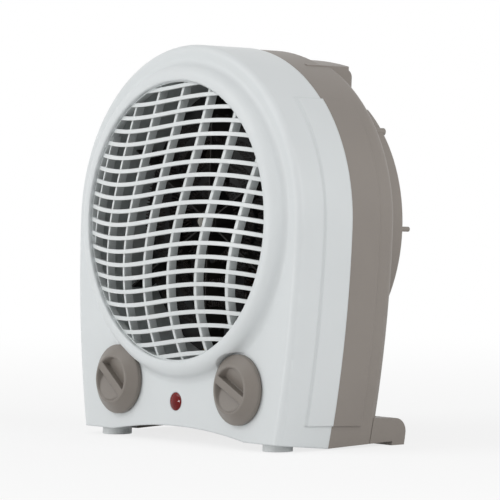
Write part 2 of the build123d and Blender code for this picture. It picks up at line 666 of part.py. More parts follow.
def air_duct():
    """Sheet-metal duct round the element, with a rear flange and a slot for the terminals."""
    shape = tube(DUCT_R + DUCT_T, DUCT_R, DUCT_FRONT_Y, SHROUD_Y)
    shape += tube(DUCT_FLANGE_R, DUCT_R, SHROUD_Y - DUCT_T, SHROUD_Y)
    for x, z in duct_screw_places():
        shape -= rod(PILOT_R + SCREW_PLAY, SHROUD_Y - 2, SHROUD_Y + 1, x, z)
    for x, z in POSTS:
        shape -= rod(POST_R + SHROUD_PLAY, SHROUD_Y - 2, SHROUD_Y + 1, x, z)
    return shape - block(-TAB_W, TAB_W, ELEMENT_Y0 - 1, ELEMENT_Y1 + 1, AXIS_Z - DUCT_R - 2, AXIS_Z - DUCT_R / 2)


def fan_shroud():
    """Bulkhead with a venturi collar and two pillars for the motor strap."""
    shape = slab(outline(WALL + SHROUD_PLAY, SHROUD_BOTTOM_Z), SHROUD_Y, PART_Y)
    shape += rod(FAN_HOLE_R + COLLAR_T, SHROUD_Y, PART_Y + COLLAR_L)
    shape -= rod(FAN_HOLE_R, SHROUD_Y - 1, PART_Y + COLLAR_L + 1)
    for side in (-1, 1):
        shape += rod(PILLAR_R, PART_Y, STRAP_Y, side * PILLAR_X)
        shape -= rod(PILOT_R, STRAP_Y - SMALL_SCREW_L, STRAP_Y + 1, side * PILLAR_X)
    for x, z in POSTS:
        shape -= rod(PILOT_R + SCREW_PLAY, SHROUD_Y - 1, PART_Y + 1, x, z)
    for x, z in duct_screw_places():
        shape -= rod(PILOT_R, SHROUD_Y - 1, PART_Y + 1, x, z)
    return shape


def coil_places():
    """Radius and y of each coil ring."""
    return [(radius, COIL_Y + side * COIL_GAP) for radius in COIL_RADII for side in (-1, 1)]


def mica_frame():
    """Star of mica arms with holes for the coils."""
    reach = DUCT_R - MICA_PLAY
    shape = rod(BUSH_R + MICA_T, ELEMENT_Y0, ELEMENT_Y1)
    for k in range(MICA_ARMS):
        arm = block(0, reach, ELEMENT_Y0, ELEMENT_Y1, -MICA_T / 2, MICA_T / 2)
        for radius, y in coil_places():
            arm -= Pos(radius, y, 0) * Cylinder(COIL_R + COIL_PLAY, 4 * MICA_T)
        shape += Pos(0, 0, AXIS_Z) * Rot(Y=90 + 360 * k / MICA_ARMS) * arm
    return shape - rod(BUSH_R, ELEMENT_Y0 - 1, ELEMENT_Y1 + 1)


def element_bush():
    """Ceramic bush in the middle of the mica star."""
    return tube(BUSH_R, BOLT_R, ELEMENT_Y0 - BUSH_OVER, ELEMENT_Y1 + BUSH_OVER)


def hexagon(radius, y0, y1):
    """Six-sided nut or bolt head on the fan axis."""
    return slab(Pos(0, AXIS_Z) * RegularPolygon(radius, 6), y0, y1)


def element_bolt():
    """Bolt through the ceramic bush, with its head behind."""
    back = ELEMENT_Y1 + BUSH_OVER
    return rod(BOLT_R, ELEMENT_Y0 - BUSH_OVER - 1.5 * NUT_H, back) + hexagon(NUT_R, back, back + NUT_H / 2)


def element_nut():
    """Bright nut on the front of the element."""
    front = ELEMENT_Y0 - BUSH_OVER
    return hexagon(NUT_R, front - NUT_H, front) - rod(BOLT_R, 0, front + 1)


def heater_coils():
    """Rings of resistance wire coil, threaded through the mica arms, open at the terminals."""
    coils = []
    for radius, y in coil_places():
        ring = Pos(0, y, AXIS_Z) * Rot(X=90) * Torus(radius, COIL_R)
        coils.append(ring - block(-TAB_W / 2, TAB_W / 2, y - 5, y + 5, AXIS_Z - FAR, AXIS_Z))
    return Compound(children=coils)


def terminal_tabs():
    """Flat tabs on the lowest mica arm, out through the slot in the duct."""
    tabs = []
    for y in (ELEMENT_Y0 + TAB_W / 2, ELEMENT_Y1 - TAB_W / 2):
        tabs.append(block(MICA_T / 2, MICA_T / 2 + TAB_T, y - TAB_W / 2, y + TAB_W / 2,
                          AXIS_Z - DUCT_R - TAB_OUT, AXIS_Z - DUCT_R + TAB_IN))
    return Compound(children=tabs)


def thermal_cutout():
    """Round thermal cut-out against a mica arm, between two coils."""
    disc = Cylinder(CUTOUT_R, CUTOUT_H, align=(Align.CENTER, Align.CENTER, Align.MIN))
    return Pos(-MICA_T / 2, COIL_Y, AXIS_Z - CUTOUT_RING) * Rot(Y=-90) * disc


def fan_impeller():
    """Axial impeller: a hub with pitched blades that widen outwards."""
    back = FAN_FRONT_Y + FAN_L
    middle = (FAN_FRONT_Y + back) / 2
    root_r = FAN_HUB_R - 2
    tip_r = FAN_R + 2
    plan = make_face(Polyline((root_r, -BLADE_ROOT / 2), (tip_r, -BLADE_TIP / 2),
                              (tip_r, BLADE_TIP / 2), (root_r, BLADE_ROOT / 2), close=True))
    blade = Rot(X=BLADE_PITCH) * slab(plan, -BLADE_T / 2, BLADE_T / 2)
    blades = [Pos(0, middle, AXIS_Z) * Rot(Y=360 * k / FAN_BLADES) * blade for k in range(FAN_BLADES)]
    hub = rod(FAN_HUB_R, FAN_FRONT_Y, back)
    hub = fillet(hub.edges().group_by(Axis.Y)[0], FAN_HUB_R / 5)
    shape = hub.fuse(*blades) & rod(FAN_R, FAN_FRONT_Y, back)
    return shape - rod(SHAFT_R, FAN_FRONT_Y - 1, back + 1)


def fan_nut():
    """Nut that holds the impeller on the shaft."""
    return hexagon(NUT_R, FAN_FRONT_Y - NUT_H, FAN_FRONT_Y) - rod(SHAFT_R, 0, FAN_FRONT_Y + 1)


def motor_shaft():
    """Shaft through the motor to the fan."""
    return rod(SHAFT_R, FAN_FRONT_Y - NUT_H - 1, SHAFT_END_Y)


def motor_rotor():
    """Rotor on the shaft."""
    return tube(ROTOR_R, SHAFT_R, CORE_Y + ROTOR_INSET, CORE_BACK_Y - ROTOR_INSET)


def motor_stator():
    """Lamination stack with the rotor's bore and a window for the winding."""
    half = CORE_W / 2
    shape = block(-half, half, CORE_Y, CORE_BACK_Y, AXIS_Z - CORE_BOTTOM, AXIS_Z + CORE_TOP)
    shape -= rod(ROTOR_R + ROTOR_GAP, CORE_Y - 1, CORE_BACK_Y + 1)
    return shape - block(CORE_LIMB - half, half - CORE_LIMB, CORE_Y - 1, CORE_BACK_Y + 1,
                         AXIS_Z - CORE_BOTTOM + CORE_LIMB, AXIS_Z - CORE_WINDOW_TOP)


def motor_winding():
    """Winding round the lower limb of the stator."""
    half = CORE_W / 2 - CORE_LIMB - WINDING_PLAY
    limb_top = AXIS_Z - CORE_BOTTOM + CORE_LIMB
    limb_bottom = AXIS_Z - CORE_BOTTOM
    outer = block(-half, half, CORE_Y - WINDING_T, CORE_BACK_Y + WINDING_T / 2,
                  limb_bottom - WINDING_T, limb_top + WINDING_T)
    outer = fillet(outer.edges().filter_by(Axis.X), WINDING_T / 3)
    return outer - block(-FAR, FAR, CORE_Y, CORE_BACK_Y, limb_bottom, limb_top)


def bearing_bracket(plate_y, core_y):
    """Bridge from the stator's face that holds a bearing."""
    low, high = sorted((plate_y, plate_y + BRACKET_T))
    half = BRACKET_W / 2
    tall = BRACKET_H / 2
    shape = block(-half, half, low, high, AXIS_Z - tall, AXIS_Z + tall)
    for side in (-1, 1):
        x0, x1 = sorted((side * half, side * (half - BRACKET_T)))
        shape += block(x0, x1, min(low, core_y), max(high, core_y), AXIS_Z - tall, AXIS_Z + tall)
    return shape - rod(BEARING_R, low - 1, high + 1)


def motor_bearings():
    """Plain bushes in the two bearing brackets."""
    front = tube(BEARING_R, SHAFT_R + SHAFT_FIT, STRAP_BACK_Y, STRAP_BACK_Y + BEARING_L)
    rear = tube(BEARING_R, SHAFT_R + SHAFT_FIT, SHAFT_END_Y - BEARING_L, SHAFT_END_Y)
    return Compound(children=[front, rear])


def motor_strap():
    """Steel strap between the shroud's pillars that carries the motor."""
    half = PILLAR_X + STRAP_OVER
    shape = block(-half, half, STRAP_Y, STRAP_BACK_Y, AXIS_Z - STRAP_H / 2, AXIS_Z + STRAP_H / 2)
    shape -= rod(BEARING_R, STRAP_Y - 1, STRAP_BACK_Y + 1)
    for side in (-1, 1):
        shape -= rod(PILOT_R + SCREW_PLAY, STRAP_Y - 1, STRAP_BACK_Y + 1, side * PILLAR_X)
    return shape


def screw(x, seat_y, z, length, forward=True):
    """Pan-head screw with its head on a seat, driven towards the front or the back."""
    step = 1 if forward else -1
    head = rod(SCREW_HEAD_R, *sorted((seat_y, seat_y + step * SCREW_HEAD_H)), x, z)
    return head + rod(SCREW_R, *sorted((seat_y, seat_y - step * length)), x, z)


def casing_screws():
    """Screws up the rear posts into the front posts."""
    length = POST_WELL_FLOOR + SHROUD_T + SCREW_L - 2
    return Compound(children=[screw(x, PART_Y + POST_WELL_FLOOR, z, length) for x, z in POSTS])


def switch_screws():
    """Screws through the ears of both switches."""
    places = [place for x, _ in KNOBS.values() for place in ear_places(x)]
    return Compound(children=[screw(x, EAR_Y + EAR_T, z, SMALL_SCREW_L) for x, z in places])


def strap_screws():
    """Screws through the motor strap into the pillars."""
    return Compound(children=[screw(side * PILLAR_X, STRAP_BACK_Y, AXIS_Z, SMALL_SCREW_L) for side in (-1, 1)])


def duct_screws():
    """Screws through the duct's flange into the shroud."""
    seat = SHROUD_Y - DUCT_T
    return Compound(children=[screw(x, seat, z, SHROUD_T, forward=False) for x, z in duct_screw_places()])


def terminal_block():
    """Supply terminal block on the floor, with screw wells."""
    width, depth, height = BLOCK_SIZE
    shape = block(-width / 2, width / 2, BLOCK_Y, BLOCK_Y + depth, FLOOR_Z, FLOOR_Z + height)
    for k in range(3):
        x = (k - 1) * width / 3
        shape -= Pos(x, BLOCK_Y + depth / 2, FLOOR_Z + height) * Cylinder(width / 12, height)
    return shape


def cord_gland():
    """Inlet gland in the rear wall, with flanges on both sides of the wall."""
    inside = BACK_Y - WALL
    shape = rod(GLAND_R, inside, BACK_Y, 0, GLAND_Z)
    shape += rod(GLAND_FLANGE_R, inside - GLAND_FLANGE_T, inside, 0, GLAND_Z)
    shape += rod(GLAND_FLANGE_R, BACK_Y, BACK_Y + GLAND_FLANGE_T, 0, GLAND_Z)
    return shape - rod(GLAND_BORE_R, 0, FAR, 0, GLAND_Z)


def lead(points):
    """Insulated lead along straight runs and round bends."""
    path = FilletPolyline(*points, radius=LEAD_BEND)
    section = Plane(origin=path @ 0, z_dir=path % 0) * Circle(LEAD_R)
    return sweep(section, path)


def inner_leads():
    """Leads between the terminal block, the switch, the thermostat and the element."""
    width, depth, height = BLOCK_SIZE
    block_top = FLOOR_Z + height
    block_y = BLOCK_Y + depth / 3
    tag_y = SWITCH_BACK_Y + TAB_OUT
    lead_z = block_top + 12
    mode_x = KNOBS["mode"][0] + SWITCH_HALF / 4
    blade_y = SWITCH_BACK_Y - EAR_T + TAB_T
    thermostat_x = KNOBS["thermostat"][0] - SWITCH_HALF / 2
    tab_z = AXIS_Z - DUCT_R - TAB_OUT
    leads = [
        lead([(-width / 3, block_y, block_top), (-width / 3, block_y, lead_z), (mode_x, block_y, lead_z),
              (mode_x, block_y, KNOB_Z), (mode_x, tag_y, KNOB_Z)]),
        lead([(width / 3, block_y, block_top), (width / 3, block_y, lead_z), (thermostat_x, block_y, lead_z),
              (thermostat_x, block_y, KNOB_Z), (thermostat_x, blade_y, KNOB_Z)]),
    ]
    for y in (ELEMENT_Y0 + TAB_W / 2, ELEMENT_Y1 - TAB_W / 2):
        x = MICA_T / 2 + TAB_T / 2
        side = 1 if y > COIL_Y else -1
        end = KNOB_X - SWITCH_HALF
        leads.append(lead([(x, y, tab_z), (x, y, tab_z - 8), (side * end, y, tab_z - 8)]))
    return Compound(children=leads)


def pieces():
    """Every piece by name, upright in the casing's own frame."""
    made = {
        "front_shell": front_shell(),
        "outlet_grille": outlet_grille(),
        "rear_shell": rear_shell(),
        "intake_grille": intake_grille(),
        "front_feet": front_feet(),
        "mode_switch_body": mode_switch_body(),
        "thermostat_body": thermostat_body(),
        "thermostat_blade": thermostat_blade(),
        "indicator_lens": indicator_lens(),
        "indicator_lamp": indicator_lamp(),
        "air_duct": air_duct(),
        "fan_shroud": fan_shroud(),
        "mica_frame": mica_frame(),
        "element_bush": element_bush(),
        "element_bolt": element_bolt(),
        "element_nut": element_nut(),
        "heater_coils": heater_coils(),
        "terminal_tabs": terminal_tabs(),
        "thermal_cutout": thermal_cutout(),
        "fan_impeller": fan_impeller(),
        "fan_nut": fan_nut(),
        "motor_shaft": motor_shaft(),
        "motor_rotor": motor_rotor(),
        "motor_stator": motor_stator(),
        "motor_winding": motor_winding(),
        "motor_front_bracket": bearing_bracket(STRAP_BACK_Y, CORE_Y),
        "motor_rear_bracket": bearing_bracket(REAR_BRACKET_Y, CORE_BACK_Y),
        "motor_bearings": motor_bearings(),
        "motor_strap": motor_strap(),
        "casing_screws": casing_screws(),
        "switch_screws": switch_screws(),
        "strap_screws": strap_screws(),
        "duct_screws": duct_screws(),
        "terminal_block": terminal_block(),
        "cord_gland": cord_gland(),
        "inner_leads": inner_leads(),
    }
    for name, (x, angle) in KNOBS.items():
        made[name + "_knob"] = knob(x, angle)
        made[name + "_spindle"] = spindle(x)
    return made


def stand(made):
    """Lean every piece back and put the origin under the middle of the whole box."""
    leaned = {name: Rot(X=-LEAN) * shape for name, shape in made.items()}
    box = Compound(children=[Compound(children=shape.solids()) for shape in leaned.values()]).bounding_box()
    middle = Pos(-(box.min.X + box.max.X) / 2, -(box.min.Y + box.max.Y) / 2, -box.min.Z)
    return {name: middle * shape for name, shape in leaned.items()}


os.makedirs("parts", exist_ok=True)
for node, shape in stand(pieces()).items():
    export_step(shape, f"parts/{node}.step")
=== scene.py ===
import json
import logging
import math
from dataclasses import dataclass, field
from enum import Enum

import bpy
from mathutils import Matrix, Vector


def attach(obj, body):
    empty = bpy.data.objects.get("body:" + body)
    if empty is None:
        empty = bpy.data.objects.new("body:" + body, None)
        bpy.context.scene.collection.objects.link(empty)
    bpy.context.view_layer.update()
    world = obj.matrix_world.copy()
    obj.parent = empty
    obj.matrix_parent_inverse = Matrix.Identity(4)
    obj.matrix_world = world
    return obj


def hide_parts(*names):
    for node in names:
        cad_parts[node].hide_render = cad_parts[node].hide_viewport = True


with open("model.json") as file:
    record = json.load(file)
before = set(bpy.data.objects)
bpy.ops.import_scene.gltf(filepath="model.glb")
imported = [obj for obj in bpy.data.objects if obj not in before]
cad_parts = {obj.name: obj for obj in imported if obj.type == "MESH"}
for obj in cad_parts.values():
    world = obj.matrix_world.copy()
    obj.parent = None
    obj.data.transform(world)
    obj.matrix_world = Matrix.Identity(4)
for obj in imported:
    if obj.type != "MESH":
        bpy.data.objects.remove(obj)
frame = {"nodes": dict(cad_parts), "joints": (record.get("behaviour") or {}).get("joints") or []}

# An upright fan heater: finishes for its solids, wound wire in place of the plain heating coils,
# and a studio. Lengths are metres unless a name says otherwise. The heater's front faces -Y.

MM = 0.001
LOG = logging.getLogger("heater")
Colour = tuple[float, float, float, float]

# The Mix node has several sockets of one name, so its colour sockets go by number.
MIX_FACTOR, MIX_FIRST, MIX_SECOND, MIX_RESULT = 0, 6, 7, 2
# A band texture makes its scale times this many radians of wave in a metre.
BAND_RADIANS = 20
RELIEF_DETAIL = 2.0
GRAIN_ROUGHNESS = 0.6
PATCH_DETAIL = 4.0
EDGE_SAMPLES = 6


def to_linear(colour: str) -> Colour:
    """Turns an sRGB hex colour into the linear values that shaders take.

    Args:
        colour: six hex digits after a hash sign.

    Returns:
        Linear red, green, blue and an alpha of 1.
    """
    channels = [int(colour[k:k + 2], 16) / 255 for k in (1, 3, 5)]
    # The curve is the one in the sRGB standard.
    linear = [c / 12.92 if c <= 0.04045 else ((c + 0.055) / 1.055) ** 2.4 for c in channels]
    return (linear[0], linear[1], linear[2], 1.0)


def add_node(tree: bpy.types.NodeTree, kind: str, settings: dict, links: dict) -> bpy.types.Node:
    """Adds one shader node.

    Args:
        tree: the node tree it goes into.
        kind: Blender's name for the node.
        settings: values for its inputs or attributes, by name, or by number for an input.
        links: the sockets that feed its inputs, by name or number.

    Returns:
        The new node.
    """
    node = tree.nodes.new(kind)
    for name, value in settings.items():
        if isinstance(name, int) or name in node.inputs:
            node.inputs[name].default_value = value
        else:
            setattr(node, name, value)
    for name, socket in links.items():
        tree.links.new(socket, node.inputs[name])
    return node


class Pattern(Enum):
    """How a surface was made, which gives the shape of its fine relief."""

    MOULDED = "fine spark texture of a plastic mould"
    ROLLED = "long faint lines of rolled or drawn metal"
    LAYERED = "edges of stacked sheets"
    WOUND = "turns of wire side by side"
    FLAKED = "overlapping flakes pressed into a sheet"


# How far the lines of a banded pattern waver from straight.
BAND_WAVER = {Pattern.ROLLED: 1.5, Pattern.LAYERED: 0.15, Pattern.WOUND: 0.15}


@dataclass(frozen=True)
class Finish:
    """A material, from what the real one is and how its surface was made.

    The shade is the same material where it is a little dirtier or more worn, in patches of about
    patch_mm. Relief sizes are real ones unless a comment says otherwise, and edge_mm is the small
    radius that moulding or handling leaves on an edge.
    """

    name: str
    colour: str
    shade: str
    pattern: Pattern
    relief_mm: float
    relief_height_mm: float
    roughness: float
    roughness_spread: float = 0.06
    metallic: float = 0.0
    ior: float = 1.5
    coat: float = 0.0
    patch_mm: float = 40.0
    axis: str = "X"
    edge_mm: float = 0.0

    def relief(self, tree: bpy.types.NodeTree,
               place: bpy.types.NodeSocket) -> bpy.types.NodeSocket:
        """Makes the fine relief.

        Args:
            tree: the material's node tree.
            place: the socket that gives positions in metres.

        Returns:
            A socket with the relief's height from 0 to 1.
        """
        scale = 1.0 / (self.relief_mm * MM)
        if self.pattern in BAND_WAVER:
            bands = {"wave_type": "BANDS", "bands_direction": self.axis,
                     "Scale": scale * 2 * math.pi / BAND_RADIANS,
                     "Distortion": BAND_WAVER[self.pattern], "Detail": RELIEF_DETAIL}
            return add_node(tree, "ShaderNodeTexWave", bands, {"Vector": place}).outputs["Fac"]
        if self.pattern is Pattern.FLAKED:
            flakes = add_node(tree, "ShaderNodeTexVoronoi", {"Scale": scale}, {"Vector": place})
            return flakes.outputs["Distance"]
        grains = {"Scale": scale, "Detail": RELIEF_DETAIL, "Roughness": GRAIN_ROUGHNESS}
        return add_node(tree, "ShaderNodeTexNoise", grains, {"Vector": place}).outputs["Fac"]

    def build(self) -> bpy.types.Material:
        """Makes the shader.

        Returns:
            The material, ready to assign.
        """
        material = bpy.data.materials.new(self.name)
        material.use_nodes = True
        tree = material.node_tree
        surface = tree.nodes["Principled BSDF"].inputs
        surface["Metallic"].default_value = self.metallic
        surface["IOR"].default_value = self.ior
        surface["Coat Weight"].default_value = self.coat
        place = add_node(tree, "ShaderNodeTexCoord", {}, {}).outputs["Object"]
        spread = {"Scale": 1.0 / (self.patch_mm * MM), "Detail": PATCH_DETAIL}
        patches = add_node(tree, "ShaderNodeTexNoise", spread, {"Vector": place}).outputs["Fac"]
        tones = {"data_type": "RGBA", MIX_FIRST: to_linear(self.colour),
                 MIX_SECOND: to_linear(self.shade)}
        tone = add_node(tree, "ShaderNodeMix", tones, {MIX_FACTOR: patches})
        tree.links.new(tone.outputs[MIX_RESULT], surface["Base Color"])
        gloss = {"To Min": self.roughness - self.roughness_spread,
                 "To Max": self.roughness + self.roughness_spread}
        sheen = add_node(tree, "ShaderNodeMapRange", gloss, {"Value": patches})
        tree.links.new(sheen.outputs["Result"], surface["Roughness"])
        feeds = {"Height": self.relief(tree, place)}
        if self.edge_mm:
            rounding = {"samples": EDGE_SAMPLES, "Radius": self.edge_mm * MM}
            feeds["Normal"] = add_node(tree, "ShaderNodeBevel", rounding, {}).outputs["Normal"]
        height = {"Strength": 1.0, "Distance": self.relief_height_mm * MM}
        bump = add_node(tree, "ShaderNodeBump", height, feeds)
        tree.links.new(bump.outputs["Normal"], surface["Normal"])
        return material


# Satin ABS, spark-textured in the mould: a soft broad highlight and a faint grain.
# The real grain is near 0.2 mm. Here and on the other plastics it is drawn coarser, to show at all.
WHITE_ABS = Finish("satin_white_abs", "#DDE1E2", "#D6DADB", Pattern.MOULDED, relief_mm=0.9,
                   relief_height_mm=0.012, roughness=0.42, ior=1.54, edge_mm=1.5)
# The same plastic on the thin grille bars, which the mould polishes a little more. Its colour is drawn a
# touch lighter than the casing's, as painted light on the bars.
GRILLE_ABS = Finish("white_abs_grille_bars", "#E0E4E4", "#D9DDDD", Pattern.MOULDED, relief_mm=0.9,
                    relief_height_mm=0.008, roughness=0.38, ior=1.54, edge_mm=0.6)
# Polypropylene, moulded in a warm grey: duller than the front and slightly blotched.
TAUPE_PP = Finish("warm_grey_polypropylene", "#8E8780", "#867F79", Pattern.MOULDED, relief_mm=1.0,
                  relief_height_mm=0.02, roughness=0.5, ior=1.49, edge_mm=0.5)
# Knobs of glass-filled nylon: a shade darker, with a closer sheen on the slopes.
KNOB_NYLON = Finish("warm_grey_nylon_knob", "#827B74", "#7A736C", Pattern.MOULDED, relief_mm=0.8,
                    relief_height_mm=0.012, roughness=0.42, ior=1.53, edge_mm=1.6)
# Polycarbonate lens, polished in the mould: deep red, with pale glints where its dome turns away.
# It is drawn opaque. Its IOR lies below the real 1.58, so that white mirrors hide less of the red.
# Its shade mottles the red darker and lighter in random blotches of about 5 mm.
RED_LENS = Finish("deep_red_polycarbonate", "#7E100C", "#560605", Pattern.MOULDED, relief_mm=2.0,
                  relief_height_mm=0.01, roughness=0.09, roughness_spread=0.03, ior=1.3,
                  patch_mm=5.0)
# Nylon parts inside: near black, dusty and dull.
BLACK_NYLON = Finish("black_nylon", "#141516", "#1D1E1F", Pattern.MOULDED, relief_mm=1.2,
                     relief_height_mm=0.02, roughness=0.6, ior=1.53)
# Zinc-coated sheet, dulled by heat: grey, with faint rolling lines.
ZINC_SHEET = Finish("zinc_coated_sheet_steel", "#C2C7C7", "#B4B9B9", Pattern.ROLLED, relief_mm=2.5,
                    relief_height_mm=0.006, roughness=0.6, metallic=0.1)
# The same sheet on the motor: dark with dust and oil, so it hardly mirrors.
MOTOR_SHEET = Finish("dusty_zinc_motor_sheet", "#55585A", "#3F4142", Pattern.ROLLED, relief_mm=2.5,
                     relief_height_mm=0.01, roughness=0.65, metallic=0.4, patch_mm=12.0)
# Plated steel of screws, nuts and shafts: bright, with close mirrors.
PLATED_STEEL = Finish("bright_plated_steel", "#B9B8B2", "#A8A69E", Pattern.ROLLED, relief_mm=1.2,
                      relief_height_mm=0.004, roughness=0.24, metallic=1.0)
# Pressed mica, drawn nearly black as painted shade for the dark inside behind the grille: flaky, with little
# lustre left.
MICA = Finish("mica_sheet_painted_dark", "#1F1B17", "#161310", Pattern.FLAKED, relief_mm=3.0,
              relief_height_mm=0.05, roughness=0.65)
# Cordierite ceramic in the middle of the coils: porous, and drawn dark as painted shade for the dark inside
# behind the grille.
DARK_CERAMIC = Finish("cordierite_painted_dark", "#2C2824", "#221E1B", Pattern.MOULDED,
                      relief_mm=1.2, relief_height_mm=0.03, roughness=0.75)
# Glazed steatite: ivory and glossy.
STEATITE = Finish("glazed_steatite", "#D9D3C4", "#CBC4B3", Pattern.MOULDED, relief_mm=1.5,
                  relief_height_mm=0.01, roughness=0.22, ior=1.57)
# Nickel-chromium wire after use: a dull grey-brown oxide, drawn darker still as painted shade for the dark
# inside behind the grille.
HEAT_WIRE = Finish("oxidised_nichrome_wire_painted_dark", "#38322E", "#2C2622", Pattern.ROLLED,
                   relief_mm=0.8, relief_height_mm=0.005, roughness=0.8, metallic=0.2)
# Rolled brass of tabs and bushes: yellow, with a soft mirror.
BRASS = Finish("rolled_brass", "#B59A55", "#9C8145", Pattern.ROLLED, relief_mm=1.0,
               relief_height_mm=0.005, roughness=0.33, metallic=1.0)
# Stacked silicon steel: each sheet edge shows as a line 0.5 mm wide, drawn at 1 mm.
LAMINATIONS = Finish("stacked_silicon_steel", "#505254", "#404142", Pattern.LAYERED, relief_mm=1.0,
                     relief_height_mm=0.12, roughness=0.6, metallic=0.5, axis="Y")
# Enamelled copper wire, laid turn by turn: brown ridges under a thin clear coat.
COPPER_TURNS = Finish("enamelled_copper_winding", "#7A4526", "#63361C", Pattern.WOUND,
                      relief_mm=0.9, relief_height_mm=0.25, roughness=0.42, metallic=0.5, coat=0.2)
# Thermoplastic rubber of the front feet, matt. Its colour is drawn paler than the casing's white, as painted
# light against the shade under the skirt.
PALE_RUBBER = Finish("thermoplastic_rubber_painted_pale", "#EEF1F1", "#E6E9E9", Pattern.MOULDED,
                     relief_mm=1.0, relief_height_mm=0.02, roughness=0.6, edge_mm=0.6)
# Rubber of the cord's gland: black and matt, with soft edges.
BLACK_RUBBER = Finish("black_rubber", "#202020", "#2A2A2A", Pattern.MOULDED, relief_mm=1.0,
                      relief_height_mm=0.03, roughness=0.65, edge_mm=0.6)
# Silicone sleeves on the leads inside: pale, with a waxy sheen.
SILICONE_SLEEVE = Finish("pale_silicone_sleeve", "#BDB8AC", "#ADA89C", Pattern.MOULDED,
                         relief_mm=1.0, relief_height_mm=0.02, roughness=0.55)


@dataclass
class Axis:
    """A turning axis of the heater: a point on it and its direction towards the back."""

    point: Vector
    back: Vector

    @classmethod
    def of(cls, joint: str) -> "Axis":
        """Reads a joint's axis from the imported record.

        Args:
            joint: the joint's name.

        Returns:
            The axis at rest.
        """
        found = next(j for j in frame["joints"] if j["name"] == joint)
        return cls(Vector(found["pos_m"]), Vector(found["axis"]).normalized())

    def placing(self) -> Matrix:
        """Gives the placing whose x is the heater's x, y is this axis and z is square to both.

        Returns:
            The matrix from that placing to the heater's frame.
        """
        right = Vector((1, 0, 0))
        up = right.cross(self.back)
        columns = Matrix((right, self.back, up)).transposed().to_4x4()
        return Matrix.Translation(self.point) @ columns


def mesh_piece(name: str, points: list[Vector], faces: list[tuple[int, ...]], body: str) -> bpy.types.Object:
    """Makes a smooth mesh that rides on a body.

    Args:
        name: the piece's name.
        points: its vertices in the heater's frame.
        faces: corners of each face.
        body: the body that carries it.

    Returns:
        The new object.
    """
    mesh = bpy.data.meshes.new(name)
    mesh.from_pydata(points, [], faces)
    mesh.shade_smooth()
    piece = bpy.data.objects.new(name, mesh)
    bpy.context.scene.collection.objects.link(piece)
    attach(piece, body)
    return piece


@dataclass
class Dressing:
    """Finishes of the solids, which keep their own shape."""

    coats: dict[Finish, tuple[str, ...]] = field(default_factory=lambda: {
        WHITE_ABS: ("front_shell", "terminal_block"),
        GRILLE_ABS: ("outlet_grille",),
        TAUPE_PP: ("rear_shell", "intake_grille"),
        KNOB_NYLON: ("mode_knob", "thermostat_knob"),
        RED_LENS: ("indicator_lens",),
        BLACK_NYLON: ("fan_shroud", "fan_impeller", "mode_switch_body", "indicator_lamp",
                      "thermal_cutout"),
        ZINC_SHEET: ("air_duct",),
        MOTOR_SHEET: ("motor_strap", "motor_front_bracket", "motor_rear_bracket"),
        PLATED_STEEL: ("element_bolt", "element_nut", "fan_nut", "motor_shaft", "casing_screws",
                       "switch_screws", "strap_screws", "duct_screws", "mode_spindle",
                       "thermostat_spindle"),
        MICA: ("mica_frame",),
        DARK_CERAMIC: ("element_bush",),
        STEATITE: ("thermostat_body",),
        HEAT_WIRE: ("heater_coils",),
        BRASS: ("terminal_tabs", "thermostat_blade", "motor_bearings"),
        LAMINATIONS: ("motor_rotor", "motor_stator"),
        COPPER_TURNS: ("motor_winding",),
        PALE_RUBBER: ("front_feet",),
        BLACK_RUBBER: ("cord_gland",),
        SILICONE_SLEEVE: ("inner_leads",),
    })
    made: dict[str, bpy.types.Material] = field(default_factory=dict)

    def dress(self) -> None:
        """Builds every finish and puts it on its solids."""
        for finish, nodes in self.coats.items():
            material = finish.build()
            self.made[finish.name] = material
            for node in nodes:
                solid = frame["nodes"][node]
                solid.data.materials.clear()
                solid.data.materials.append(material)
                LOG.info("%s: %s", node, finish.name)


